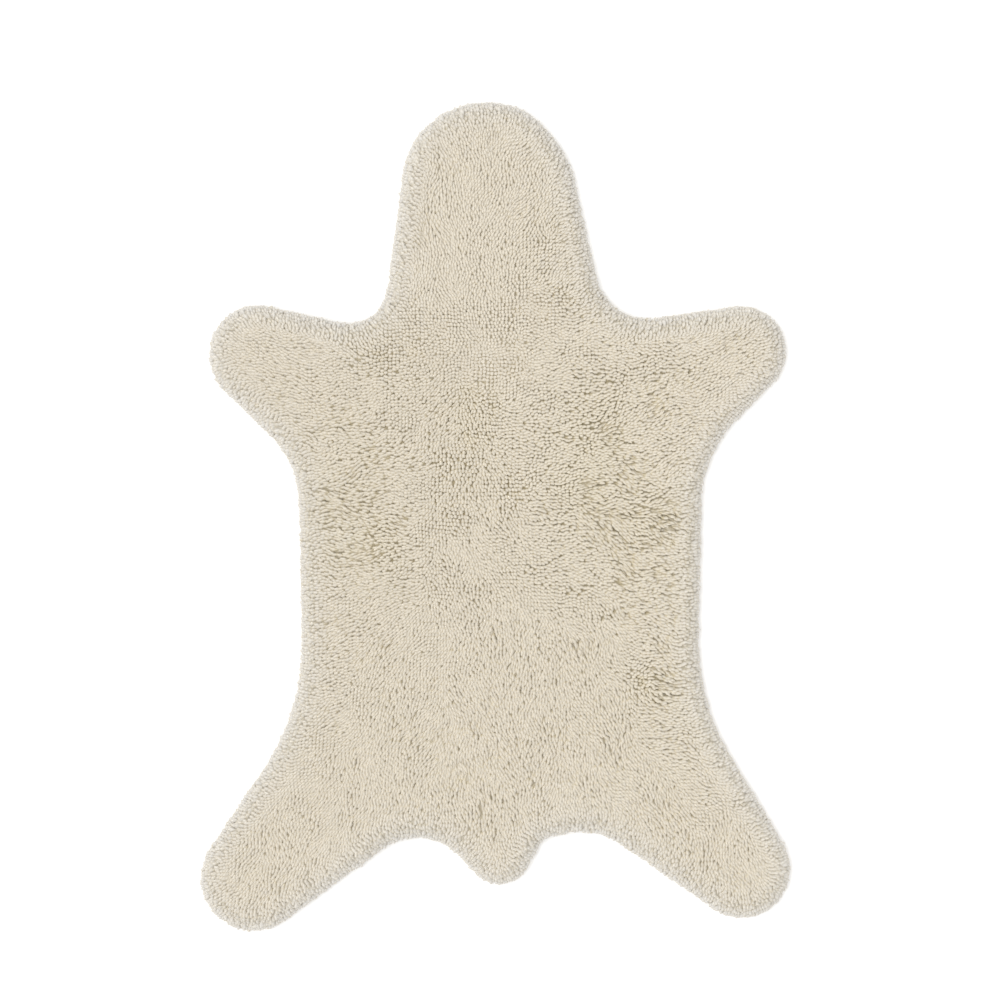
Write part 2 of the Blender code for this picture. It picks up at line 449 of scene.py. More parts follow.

# Where the pile is ruffled and stands open, so that its depth shows, partly through looser,
# thinner tufts and a deeper bed and partly through painted shade, and where it is sleek, below 0.
# Each reaches so far across the rug and along it, in millimetres.
Ruffle = namedtuple("Ruffle", "place x y across along amount")
RUFFLES = (
    Ruffle("chest", -25, 110, 55, 110, 0.45),
    Ruffle("chest, left", -135, 215, 55, 60, 0.4),
    Ruffle("ribs, left", -215, 20, 80, 170, 0.7),
    Ruffle("back", -20, 20, 200, 160, 0.45),
    Ruffle("back, right", 130, 110, 90, 150, 0.55),
    Ruffle("ribs, right", 245, 60, 70, 170, 0.5),
    Ruffle("shoulder, right", 200, 220, 80, 80, 0.35),
    Ruffle("flank, right", 200, -140, 90, 150, 0.55),
    Ruffle("hip, right", 265, -330, 70, 130, 0.35),
    Ruffle("head", -30, 460, 100, 130, -0.45),
    Ruffle("throat", -30, 210, 55, 45, -0.35),
    Ruffle("front paw, left", -350, 250, 110, 70, -0.45),
    Ruffle("hind leg, left", -300, -480, 120, 120, -0.35),
)
PARTING_OPENS = 2  # how open a parting is, for its strength
SLEEKEST, MOST_OPEN = -0.3, 1.1

# Slow changes over the pile, by how much each is and about how broad its lumps are. No two share a
# layer of the noise.
Drift = namedtuple("Drift", "amount span layer")
STRAYS = (Drift(0.5, 27 * MM, 11.5), Drift(0.5, 27 * MM, 14.5))  # where no lay is strong
BROAD_TURN = Drift(0.5, 60 * MM, 3.5)  # of the lay, in radians
NARROW_TURN = Drift(0.5, 24 * MM, 5.5)
LEAN_DRIFT = Drift(0.35, 38 * MM, 8.5)
OPEN_DRIFT = Drift(0.12, 55 * MM, 33.5)
HEIGHT_DRIFT = Drift(1.2 * MM, 95 * MM, 0.5)


def drift_at(points, drift):
    """The drift at each point, from minus its amount to its amount."""
    spots = (Vector((x / drift.span, y / drift.span, drift.layer)) for x, y in points)
    return drift.amount * np.array([noise.noise(spot) for spot in spots])


def turned(vectors, angles):
    """The vectors, each turned anticlockwise by its own angle."""
    cos, sin = np.cos(angles), np.sin(angles)
    x, y = vectors.T
    return np.stack([x * cos - y * sin, x * sin + y * cos], -1)


def smooth_step(value, low, high):
    """From 0 at the low value and below to 1 at the high one and above."""
    share = np.clip((value - low) / (high - low), 0, 1)
    return share * share * (3 - 2 * share)


def from_middle(points, spot):
    return points - np.array((spot.x, spot.y)) * MM


def fading(points, spot, reach):
    """From 1 in the middle of a spot to 0 well beyond its reach, or its reaches in x and y."""
    away = from_middle(points, spot) / (np.array(reach) * MM)
    return np.exp(-(away**2).sum(1))


def lay_at(points):
    """How far and which way the ends of the tufts lie from their roots."""
    lean = np.zeros_like(points)
    total = np.zeros(len(points))
    for lay in LAYS:
        away = np.hypot(*from_middle(points, lay).T)
        weight = 1 / (1 + (away / LAY_SPAN) ** 4)
        heading = math.radians(lay.heading)
        towards = np.array((math.cos(heading), math.sin(heading)))
        lean += weight[:, None] * towards * lay.lean
        total += weight
    lean /= total[:, None]
    stray = np.stack([drift_at(points, drift) for drift in STRAYS], -1)
    lean += stray * np.clip(1 - np.hypot(*lean.T), 0, 1)[:, None]
    lean = turned(lean, drift_at(points, BROAD_TURN) + drift_at(points, NARROW_TURN))
    lean *= 1 + drift_at(points, LEAN_DRIFT)[:, None]
    for parting in PARTINGS:
        outward = from_middle(points, parting) / (parting.radius * MM)
        away = np.hypot(*outward.T)
        steady = np.minimum(away * 3, 1) / (away + 1e-6)  # less only in the very middle
        lean += (parting.strength * np.exp(-(away**2)) * steady)[:, None] * outward
    return lean * MOST_LEAN


def openness(points):
    """How open the pile stands, from below 0 where it is sleek to about 1."""
    amounts = np.zeros(len(points))
    for ruffle in RUFFLES:
        amounts += ruffle.amount * fading(points, ruffle, (ruffle.across, ruffle.along))
    for parting in PARTINGS:
        amounts += PARTING_OPENS * parting.strength * fading(points, parting, parting.radius)
    return np.clip(amounts + drift_at(points, OPEN_DRIFT), SLEEKEST, MOST_OPEN)


def profile_height(inset):
    """The height of the ends of the pile, by their distance in from the outline."""
    share = np.clip(1 - inset / SHOULDER, 0, 1)
    easing = np.clip(1 - inset / (3 * SHOULDER), 0, 1)
    return PILE_HEIGHT - SHOULDER_DROP * share**SHOULDER_ROUNDNESS - SHOULDER_EASE * easing**2


def yarn_height(points, lean, inset):
    """How high above their roots the ends of the tufts stand."""
    flat = np.minimum(np.hypot(*lean.T), FLATTEST * YARN_LENGTH)
    height = np.sqrt(YARN_LENGTH**2 - flat**2) + drift_at(points, HEIGHT_DRIFT)
    return np.minimum(height, profile_height(inset) - ROOT_HEIGHT)


def lean_near_edge(lean, inset, out):
    """The lean of the tufts, which turns outwards all along the edge."""
    near_edge = 1 - smooth_step(inset, *EDGE_LEAN_INSETS)[:, None]
    return lean * (1 - near_edge) + out * EDGE_LEAN * near_edge


def make_bed():
    """The closed bed, whose points carry how much less shade is painted on the fluff there."""
    bm = bmesh.new()
    loops = cut_edge(bm, [(inset * MM, height * MM) for inset, height in BED_EDGE])
    points = square_grid(BED_GRID)
    inset, out = depth_inside(points)
    inside = inset > BED_EDGE[-1][0] * MM + BED_GRID / 2
    points, inset, out = points[inside], inset[inside], out[inside]
    lean = lean_near_edge(lay_at(points), inset, out)
    depths = np.interp(smooth_step(inset, *BED_DEPTH_INSETS), (0, 1), BED_DEPTHS)
    sinks = smooth_step(inset, *BED_SINKS_INSETS)
    depths += (openness(points) - USUAL_OPENNESS) * BED_SINKS * sinks
    heights = ROOT_HEIGHT + yarn_height(points, lean, inset) - depths
    inner = [bm.verts.new((x, y, height)) for (x, y), height in zip(points, heights)]
    fill_loop(bm, loops[0], [], False)
    fill_loop(bm, loops[-1], inner, True)
    mesh = finished_mesh(bm, "pile_bed")
    mesh.shade_smooth()
    places = np.array([v.co.xy for v in mesh.vertices])
    inset, _ = depth_inside(places)
    # less shade is painted on the bed near the edge and where the pile is sleek
    pale = np.exp(-inset / BED_UNSHADED_REACH)
    pale += BED_UNSHADED_WHERE_SLEEK * np.clip(SLEEK - openness(places), 0, 1)
    paleness = mesh.attributes.new("paleness", "FLOAT", "POINT")
    paleness.data.foreach_set("value", np.clip(pale, 0, 1))
    return mesh


def bed_material():
    """The fluff between the tufts, painted dark and more ochre than their ends as shade deep in
    the pile.
    """
    material, tree = textile("shaded_wool", roughness=0.95, sheen=0.1)
    place = Thread.node(tree, "ShaderNodeTexCoord", output="Object")
    fluff = noise_through(tree, place, scale=420.0, detail=2.0)
    colour = colour_ramp(tree, fluff, (0.35, BED_SHADED), (0.65, BED_LIT))
    carried = {"attribute_name": "paleness"}
    paleness = Thread.node(tree, "ShaderNodeAttribute", carried, {}, "Fac")
    colour = colour_mix(tree, paleness, colour, BED_UNSHADED)
    dress_shader(tree, colour, height=fluff, strength=0.9, distance=1.5 * MM)
    return material


bed = bpy.data.objects.new("pile_bed", make_bed())
bpy.context.scene.collection.objects.link(bed)
bed.data.materials.append(bed_material())
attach(bed, "root")
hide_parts("pile_rug")


# -------------------------------------------------------------------------------------------------
# Tufts. Thick soft-spun wool yarn of three plies, tufted through the cloth in square rows and cut.
# The tufts lean with the lay of the hide and settle evenly apart. They fan out and down all round
# the edge, where five closer rows follow the cut.

SEED = 11
TUFT_PITCH = 5.15 * MM  # between rows, and between tufts in a row
TUFT_JITTER = 2.1 * MM
GRID_INSET = 16.8 * MM  # the ends of the square rows begin this far in
ROOTS_INSET = 14.0 * MM  # no roots are nearer the outline
ROW_WANDER = (Drift(5 * MM, 70 * MM, 21.5), Drift(5 * MM, 70 * MM, 24.5))  # of the rows' ends
SETTLING_ROUNDS = 18
SETTLING_PUSH = 0.3  # the share of an overlap that each neighbour takes out in a round
ELBOW_ROOM = 1.05  # how far apart the tufts settle, in pitches
NEIGHBOURS = 8
LAY_STRETCH = 1.3  # a tuft that lies down takes so much more room along its lay and less across

LOOSE_WHERE_SLEEK = 0.6  # how much of the strays below the tufts show
LOOSER_WHERE_OPEN = 0.8  # and how much more where the pile is open
STRAY_TURN = 0.12  # of a tuft from the lay, in radians
STRAY_LEAN = 0.1  # as a share of the lean
STRAY_END = 0.7 * MM
STRAY_HEIGHT = 0.3 * MM
EDGE_STRAY_TURN = 0.16
EDGE_STRAY_HEIGHT = 0.5 * MM
EDGE_TURN = Drift(0.25, 30 * MM, 2.5)
EDGE_FRAY = (0.9, 0.1)  # of the outermost ends, in millimetres, and more for each one further in

# A tuft runs from its root towards its knee and then to its end.
KNEE_LEAN = 0.22  # how far out the knee is, as a share of the lean
EDGE_KNEE_LEAN = 0.5
UPRIGHT_KNEE, FLAT_KNEE = 0.65, 1.1  # how high the knee is, as a share of the end's height
FLAT_ENOUGH = 0.5  # how flat a tuft lies that has its knee that high
END_DROOP = 0.97  # the end's height, as a share of the pile's there

YARN_GIRTH = 3.9 * MM  # the radius of a tuft at its fullest, over its plies
GIRTH_STRAY = 0.05
UPRIGHT_FULLER = 0.24  # how much fuller an upright tuft is than one that lies down
EDGE_FULLER = 0.22  # how much fuller the tufts at the edge are
EDGE_FULLER_INSETS = (5 * MM, 25 * MM)
OPEN_THINNER = 0.03
PARTING_THINNER = 0.3
UPRIGHT_TIP, FLAT_TIP = 0.62, 0.25  # the width of the cut end, as a share of the fullest
PLIES = 3  # soft strands twisted together in the yarn
PLY_DIP = 0.72  # how far out the grooves between the plies lie, as a share of the radius
PLY_TWIST = 1.2  # how far the plies turn from the root of a tuft to its end, in radians
TUFT_SIDES = 2 * PLIES
TUFT_STEPS = 3
STEP_CROWDING = 1.35  # how much closer the steps are towards the cut end
HIDDEN = 0.38  # the share of a tuft's length, from its root, that is in the fluff and left off
FULLEST = 0.6  # the share of a tuft's length where it is fullest
ROOT_WIDTH = 0.9  # at the root, as a share of the fullest

# The depth of the yarn below the crest of its tuft sets how much shade is painted on it. Where the
# pile is open the crest is higher, and so more shade is painted on the tuft.
SHADED_DEPTH = 6.0 * MM  # how far below the crest the yarn is at its darkest
CREST_OVER_END = 0.5 * MM
CREST_ON_KNEE = (0.75, 0.8)  # shares of the knee's height and of the girth
OPEN_CREST = 2.2 * MM
EVEN_CREST = 0.36  # how open the pile is where the crest is neither raised nor lowered
# Painted shade is lessened near the edge and on upright tufts, and deepened on a belt behind the
# edge
EDGE_LESS_SHADE, EDGE_LESS_SHADE_REACH = 0.75, 14 * MM
BELT_MORE_SHADE, BELT_INSET, BELT_REACH = 0.3, 32 * MM, 12 * MM  # a shaded belt behind the edge
UPRIGHT_LESS_SHADE, UPRIGHT_ENOUGH = 0.05, 0.6

# Rows along the edge, each by its ends' distance in from the outline and their height, its roots'
# distance in, how high the yarn rises between, how uneven that is and the spacing of the ends, in
# millimetres, and how far they give way to the lay of the hide, from 0 to 1
EdgeRow = namedtuple("EdgeRow", "place end_inset end_height root_inset rise uneven spacing give")
EDGE_ROWS = (
    EdgeRow("skirt, down to the floor", 2.8, 3.6, 13.4, 3.0, 0.6, 5.2, 0.0),
    EdgeRow("fringe", 0.8, 7.8, 15.0, 9.5, 1.0, 3.9, 0.05),
    EdgeRow("second row", 5.0, 13.2, 18.6, 15.6, 0.8, 4.2, 0.15),
    EdgeRow("third row", 9.6, 17.2, 22.0, 20.0, 0.6, 4.7, 0.35),
    EdgeRow("fourth row", 14.4, 20.0, 26.0, 22.6, 0.6, 5.0, 0.8),
)

# The tufts are kept in pieces, each from one height on the rug to the next, in millimetres
Band = namedtuple("Band", "name low high")
BANDS = (
    Band("pile_head", 262, 700),
    Band("pile_shoulders", 140, 262),
    Band("pile_back", -10, 140),
    Band("pile_loins", -180, -10),
    Band("pile_rump", -380, -180),
    Band("pile_hind_legs", -700, -380),
)


def how_flat(lean):
    return np.clip(np.hypot(*lean.T) / MOST_LEAN, 0, 1)


def settled(heads, others):
    """The heads, pushed apart as the pile settles: less along the lay, where they overlap."""
    for _ in range(SETTLING_ROUNDS):
        everyone = np.concatenate([heads, others])
        tree = kdtree.KDTree(len(everyone))
        for number, (x, y) in enumerate(everyone):
            tree.insert((x, y, 0.0), number)
        tree.balance()
        hits = [tree.find_n((x, y, 0.0), NEIGHBOURS + 1)[1:] for x, y in heads]
        near = np.array([[number for _, number, _ in around] for around in hits])
        gaps = heads[:, None] - everyone[near]
        lean = lay_at(heads)
        lay = (lean / (np.hypot(*lean.T)[:, None] + 1e-9))[:, None]
        stretch = 1 + (LAY_STRETCH - 1) * how_flat(lean)[:, None]
        along = (gaps * lay).sum(-1) / stretch
        across = (gaps[..., 0] * lay[..., 1] - gaps[..., 1] * lay[..., 0]) * stretch
        away = np.hypot(along, across) + 1e-6
        push = SETTLING_PUSH * np.maximum(TUFT_PITCH * ELBOW_ROOM - away, 0) / away
        heads = heads + (gaps * push[..., None]).sum(1)
    return heads


def grid_tufts(rng, edge_heads):
    """Roots, knees, ends and tips of the tufts in the square rows, which settle evenly apart."""
    heads = square_grid(TUFT_PITCH)
    heads = heads + np.stack([drift_at(heads, drift) for drift in ROW_WANDER], -1)
    heads = heads[depth_inside(heads)[0] > GRID_INSET]
    heads = heads + rng.uniform(-TUFT_JITTER, TUFT_JITTER, heads.shape)
    heads = settled(heads, edge_heads)
    depth, out = depth_inside(heads)
    lean = lean_near_edge(lay_at(heads), depth, out)
    loose = LOOSE_WHERE_SLEEK + LOOSER_WHERE_OPEN * openness(heads)[:, None]
    lean = turned(lean, rng.normal(0, STRAY_TURN, len(heads)) * loose[:, 0])
    lean *= 1 + rng.normal(0, STRAY_LEAN, (len(heads), 1)) * loose
    lean += rng.normal(0, STRAY_END, lean.shape) * loose
    lean += out * np.maximum(ROOTS_INSET - depth - (lean * out).sum(1), 0)[:, None]
    height = yarn_height(heads, lean, depth) + rng.normal(0, STRAY_HEIGHT, len(heads))
    flatness = how_flat(lean)
    bend = UPRIGHT_KNEE + (FLAT_KNEE - UPRIGHT_KNEE) * smooth_step(flatness, 0, FLAT_ENOUGH)
    knees = np.column_stack([lean * KNEE_LEAN, height * bend])
    ends = np.column_stack([lean, height * END_DROOP])
    return heads - lean, knees, ends, UPRIGHT_TIP - (UPRIGHT_TIP - FLAT_TIP) * flatness


def edge_tufts(rng):
    """The same for the rows that follow the edge."""
    rows = []
    for number, row in enumerate(EDGE_ROWS):
        loop, _ = along_edge(count=2000, inset=row.end_inset * MM)
        around = np.hypot(*(np.roll(loop, -1, axis=0) - loop).T).sum()
        count = round(around / (row.spacing * MM))
        heads, out = along_edge(count, row.end_inset * MM, number / 2)
        fray = rng.normal(0, (EDGE_FRAY[0] + EDGE_FRAY[1] * row.end_inset) * MM, count)
        heads = heads + out * fray[:, None]
        reach = (row.root_inset - row.end_inset) * MM + fray
        lay = lay_at(heads)
        lay -= out * (lay * out).sum(1)[:, None]
        lean = out * reach[:, None] + lay * row.give
        lean = turned(lean, rng.normal(0, EDGE_STRAY_TURN, count) + drift_at(heads, EDGE_TURN))
        rise = rng.normal(0, row.uneven * MM, count)
        height = row.end_height * MM - ROOT_HEIGHT + rise
        height += rng.normal(0, EDGE_STRAY_HEIGHT, count)
        knees = np.column_stack([lean * EDGE_KNEE_LEAN, row.rise * MM + rise])
        ends = np.column_stack([lean, np.maximum(height, 0)])
        rows.append((heads - lean, knees, ends, np.full(count, FLAT_TIP)))
    return [np.concatenate(parts) for parts in zip(*rows)]


def tuft_girths(rng, heads, flatness, insets, opens):
    girths = YARN_GIRTH * rng.normal(1, GIRTH_STRAY, len(heads))
    girths *= 1 + UPRIGHT_FULLER * (1 - flatness)
    girths *= 1 + EDGE_FULLER * (1 - smooth_step(insets, *EDGE_FULLER_INSETS))
    girths *= 1 - OPEN_THINNER * (opens - USUAL_OPENNESS)
    for parting in PARTINGS:
        thinner = PARTING_THINNER * parting.strength
        girths *= 1 - thinner * fading(heads, parting, parting.radius)
    return girths


def tuft_crests(knees, ends, girths, flatness, insets, opens):
    """The height that the painted shade of each tuft is measured down from."""
    # these change only the painted shade, not the shape of the pile
    opens = opens - EDGE_LESS_SHADE * np.exp(-((insets / EDGE_LESS_SHADE_REACH) ** 2))
    opens += BELT_MORE_SHADE * np.exp(-(((insets - BELT_INSET) / BELT_REACH) ** 2))
    opens -= UPRIGHT_LESS_SHADE * np.clip(1 - flatness / UPRIGHT_ENOUGH, 0, 1)
    on_knee = knees[:, 2] * CREST_ON_KNEE[0] + girths * CREST_ON_KNEE[1]
    crests = ROOT_HEIGHT + np.maximum(ends[:, 2] + CREST_OVER_END, on_knee)
    return crests + (opens - EVEN_CREST) * OPEN_CREST


# The yarn's maps lay every tuft on one of a table of cells: its column by the tuft's tone and its
# row by how near the edge of the rug it is. A cell's width goes once round the tuft. Its height
# runs from the root to the cut end, and from the depth of the pile to its top.
TONES = 5
# the rows of cells step the painted light of the edge in from the outline
EDGE_LEVELS = 8
CELL_MARGIN = 0.05
TONE_STRAY = 0.15  # from one tuft to the next, as a share of all the tones
TONE_DRIFT = Drift(0.15, 45 * MM, 4.5)
EDGE_LEVEL_REACH = 18 * MM
SKIRT_LEVEL, SKIRT_HEIGHT = 0.4, 3.5 * MM  # the skirt is in the shade of the rim, and less pale
ALONG_SHARE = 0.15  # how much of a cell's height is by the place along the tuft, not its depth
CAP_WIDTH, CAP_HEIGHT = 0.3, 0.02  # what the cut end takes of its cell, from its middle

# What each tuft's point carries, and what is stored on the tuft as it is swept
TUFT_FIELDS = ("root", "knee", "end", "girth", "tip", "cell", "crest")
SWEPT_FIELDS = ("side", "along", "nearness")


def tuft_cells(rng, heads, ends, insets):
    """The number of each tuft's cell."""
    tones = 0.5 + TONE_STRAY * rng.normal(0, 1, len(heads)) + drift_at(heads, TONE_DRIFT)
    tones = np.clip(tones * TONES, 0, TONES - 1).astype(int)
    # a tuft's row sets how much painted light it gets, more the nearer the edge
    levels = np.exp(-np.maximum(insets, 0) / EDGE_LEVEL_REACH) * (EDGE_LEVELS - 1)
    levels += rng.uniform(-0.5, 0.5, len(heads))
    levels *= SKIRT_LEVEL + (1 - SKIRT_LEVEL) * smooth_step(ends[:, 2], 0, SKIRT_HEIGHT)
    levels = np.clip(np.round(levels), 0, EDGE_LEVELS - 1).astype(int)
    return (tones + TONES * levels).astype(float)


def tuft_points(name, fields):
    """A mesh of bare points, one at each root, that carries the shape of its tuft."""
    mesh = bpy.data.meshes.new(name)
    mesh.vertices.add(len(fields["root"]))
    mesh.vertices.foreach_set("co", fields["root"].ravel())
    for label, values in fields.items():
        is_vector = values.ndim == 2
        kind, name_of_value = ("FLOAT_VECTOR", "vector") if is_vector else ("FLOAT", "value")
        field = mesh.attributes.new(label, kind, "POINT")
        field.data.foreach_set(name_of_value, values.ravel())
    tufts = bpy.data.objects.new(name, mesh)
    bpy.context.scene.collection.objects.link(tufts)
    return tufts


# The sizes that the tree of the tufts is given by name
TREE_SIZES = {"Steps": TUFT_STEPS, "Plies": PLIES, "Fullest": FULLEST, "Shaded": SHADED_DEPTH}


def tuft_tree(yarn):
    """Sweeps a tuft of yarn along a bent line from each root to its end."""
    tree = bpy.data.node_groups.new("tufts", "GeometryNodeTree")
    socket = tree.interface.new_socket
    socket("Roots", in_out="INPUT", socket_type="NodeSocketGeometry")
    for name, size in TREE_SIZES.items():
        kind = "NodeSocketInt" if isinstance(size, int) else "NodeSocketFloat"
        socket(name, in_out="INPUT", socket_type=kind)
    socket("Tufts", in_out="OUTPUT", socket_type="NodeSocketGeometry")

    def add(kind, settings=None, sockets=None, output=0):
        return Thread.node(tree, kind, settings, sockets, output)

    def carried(label, kind="FLOAT"):
        return add("GeometryNodeInputNamedAttribute", {"data_type": kind}, {"Name": label})

    def carried_vector(label, by):
        sockets = {"Vector": carried(label, "FLOAT_VECTOR"), "Scale": by}
        return add("ShaderNodeVectorMath", {"operation": "SCALE"}, sockets)

    def added(*vectors):
        return add("ShaderNodeVectorMath", {"operation": "ADD"}, dict(enumerate(vectors)))

    def kept(geometry, label, value):
        return add(
            "GeometryNodeStoreNamedAttribute",
            {"data_type": "FLOAT", "domain": "POINT"},
            {"Geometry": geometry, "Name": label, "Value": value},
        )

    def between(value, curve, **ends):
        sockets = {"Value": value} | {name.replace("_", " "): end for name, end in ends.items()}
        return add("ShaderNodeMapRange", {"interpolation_type": curve}, sockets)

    given = add("NodeGroupInput", output="Roots")
    line = add("GeometryNodeCurvePrimitiveLine", {}, {"End": (0.0, 0.0, YARN_LENGTH)})
    line = add("GeometryNodeResampleCurve", {}, {"Curve": line, "Count": given.output("Steps")})
    lines = add("GeometryNodeInstanceOnPoints", {}, {"Points": given, "Instance": line})
    lines = add("GeometryNodeRealizeInstances", {}, {"Geometry": lines})

    share = add("GeometryNodeSplineParameter", output="Factor")
    along = 1 - (1 - share) ** STEP_CROWDING * (1 - HIDDEN)
    bent = carried_vector("knee", along * (1 - along) * 2)
    bent = added(bent, carried_vector("end", along * along))
    lines = kept(lines, "along", along)
    place = added(carried("root", "FLOAT_VECTOR"), bent)
    lines = add("GeometryNodeSetPosition", {}, {"Geometry": lines, "Position": place})
    along = carried("along")
    lines = add("GeometryNodeSetCurveTilt", {}, {"Curve": lines, "Tilt": along * PLY_TWIST})

    fullest = given.output("Fullest")
    past = between(along, "LINEAR", From_Min=fullest, From_Max=1.0)
    before = between(along, "SMOOTHSTEP", From_Max=fullest, To_Min=ROOT_WIDTH, To_Max=1.0)
    drawn_in = past * past * (1 - carried("tip"))
    girth = carried("girth") * before * (1 - drawn_in)
    star = {"Points": given.output("Plies"), "Inner Radius": PLY_DIP, "Outer Radius": 1.0}
    profile = add("GeometryNodeCurveStar", {}, star)
    profile = kept(profile, "side", add("GeometryNodeInputIndex"))
    tubes = add(
        "GeometryNodeCurveToMesh",
        {},
        {"Curve": lines, "Profile Curve": profile, "Scale": girth, "Fill Caps": True},
    )

    place = add("GeometryNodeInputPosition")
    height = add("ShaderNodeSeparateXYZ", {}, {"Vector": place}, "Z")
    below = carried("crest") - height
    nearness = between(below, "LINEAR", From_Min=given.output("Shaded"), From_Max=0.0)
    tubes = kept(tubes, "nearness", nearness)
    tubes = add("GeometryNodeSetShadeSmooth", {}, {"Geometry": tubes})
    tubes = add("GeometryNodeRealizeInstances", {}, {"Geometry": tubes})
    tubes = add("GeometryNodeSetMaterial", {}, {"Geometry": tubes, "Material": yarn})
    add("NodeGroupOutput", {}, {"Tufts": tubes})
    return tree


def swept(tufts, tree):
    """Makes the tufts a plain mesh."""
    modifier = tufts.modifiers.new("tufts", "NODES")
    modifier.node_group = tree
    for item in tree.interface.items_tree:
        if item.in_out == "INPUT" and item.name in TREE_SIZES:
            modifier[item.identifier] = TREE_SIZES[item.name]
    graph = bpy.context.evaluated_depsgraph_get()
    mesh = bpy.data.meshes.new_from_object(tufts.evaluated_get(graph))
    tufts.modifiers.clear()
    tufts.data = mesh
    return mesh


def numbers_of(parts, name, kind):
    """One number of each of the mesh's parts, as an array."""
    values = np.zeros(len(parts), kind)
    parts.foreach_get(name, values)
    return values


def lay_on_cells(mesh):
    """Gives the mesh the two maps on which the yarn's pattern is drawn, and drops its fields."""
    corner_verts = numbers_of(mesh.loops, "vertex_index", np.int32)
    first = numbers_of(mesh.polygons, "loop_start", np.int32)
    counts = numbers_of(mesh.polygons, "loop_total", np.int32)
    side, along, nearness, cell = (
        numbers_of(mesh.attributes[label].data, "value", np.float32)[corner_verts]
        for label in (*SWEPT_FIELDS, "cell")
    )
    mean_side = np.repeat(np.add.reduceat(side, first) / counts, counts)
    is_cap = np.repeat(counts == TUFT_SIDES, counts)
    past_last_side = (mean_side - side > 0.75) & ~is_cap  # the face that closes the round
    around = (side + past_last_side * TUFT_SIDES) / TUFT_SIDES
    angle = side / TUFT_SIDES * math.tau
    around = np.where(is_cap, 0.5 + CAP_WIDTH * np.cos(angle), around)
    upward = ALONG_SHARE * along + (1 - ALONG_SHARE) * nearness
    upward += np.where(is_cap, CAP_HEIGHT * np.sin(angle), 0)
    used = 1 - 2 * CELL_MARGIN
    across = (cell % TONES + CELL_MARGIN + used * around) / TONES
    upward = (cell // TONES + CELL_MARGIN + used * upward) / EDGE_LEVELS
    place = np.column_stack([across, upward]).astype(np.float32).ravel()
    for name in ("OFBake", "yarn"):  # one for a picture of the finish, one for the shader
        mesh.uv_layers.new(name=name).data.foreach_set("uv", place)
    for label in TUFT_FIELDS + SWEPT_FIELDS:
        if label in mesh.attributes:
            mesh.attributes.remove(mesh.attributes[label])


# Painted shade: the yarn is drawn darker and more ochre the deeper it lies below its crest and the
# nearer its root
WOOL_PAINTED_SHADE = (  # by the height in a cell
    (0.30, (0.50, 0.435, 0.295, 1)),
    (0.68, (0.605, 0.542, 0.412, 1)),
    (0.80, (0.638, 0.582, 0.474, 1)),
    (1.0, (0.654, 0.600, 0.508, 1)),
)
# Painted light: at the very edge the yarn is drawn paler and cooler, with less painted shade in
# its depth, as if lit from the white floor
EDGE_PAINTED_LIGHT = (  # the same at the very edge of the rug
    (0.2, (0.625, 0.583, 0.507, 1)),
    (0.7, (0.640, 0.608, 0.552, 1)),
    (1.0, (0.650, 0.632, 0.598, 1)),
)
WOOL_BRIGHTNESS = 0.675  # of the darkest tone, before its fibres lighten it
TONE_SPREAD = 0.05
FIBRE_SPREAD = 0.88
FIBRES_AROUND, FIBRES_UPWARD = 16, 4  # how fine they are, round a tuft and along its cell
EDGE_FIBRES_SOFTER = 0.55
GROOVE_SHADE = 0.12


def yarn_material():
    """Cream wool, pale at the top of the pile, painted ochre shade in its depth, painted cooler
    light at the edge.
    """
    material, tree = textile("cream_wool_yarn", roughness=0.9, sheen=0.25)
    place = Thread.node(tree, "ShaderNodeUVMap", {"uv_map": "yarn"})
    axes = Thread.node(tree, "ShaderNodeSeparateXYZ", {}, {"Vector": place})
    across = axes.output("X") * TONES
    upward = axes.output("Y") * EDGE_LEVELS
    column = across.math("FLOOR", across)
    level = upward.math("FLOOR", upward)
    around = (across - column - CELL_MARGIN) * (1 / (1 - 2 * CELL_MARGIN))
    upward = upward - level
    tone = column * (1 / (TONES - 1))
    paleness = level * (1 / (EDGE_LEVELS - 1))
    # painted shade by depth, and painted light at the edge of the rug
    wool = colour_ramp(tree, upward, *WOOL_PAINTED_SHADE)
    pale = colour_ramp(tree, upward, *EDGE_PAINTED_LIGHT)
    turns = around * (math.tau * PLIES)
    groove = 0.5 - turns.math("COSINE", turns) * 0.5
    own_place = column * 7.3 + level * 3.1  # each cell has fibres of its own
    drawn_out = {"X": around * FIBRES_AROUND, "Y": upward * FIBRES_UPWARD, "Z": own_place}
    fibre_place = Thread.node(tree, "ShaderNodeCombineXYZ", {}, drawn_out)
    fibres = noise_through(tree, fibre_place, scale=1.0, detail=2.0)
    brightness = WOOL_BRIGHTNESS + tone * TONE_SPREAD + fibres * FIBRE_SPREAD
    brightness = brightness - groove**3 * GROOVE_SHADE
    brightness = brightness + paleness * (0.5 - fibres) * EDGE_FIBRES_SOFTER
    sockets = {"Vector": colour_mix(tree, paleness, wool, pale), "Scale": brightness}
    colour = Thread.node(tree, "ShaderNodeVectorMath", {"operation": "SCALE"}, sockets)
    dress_shader(tree, colour, height=fibres - groove, strength=0.7, distance=0.4 * MM)
    return material


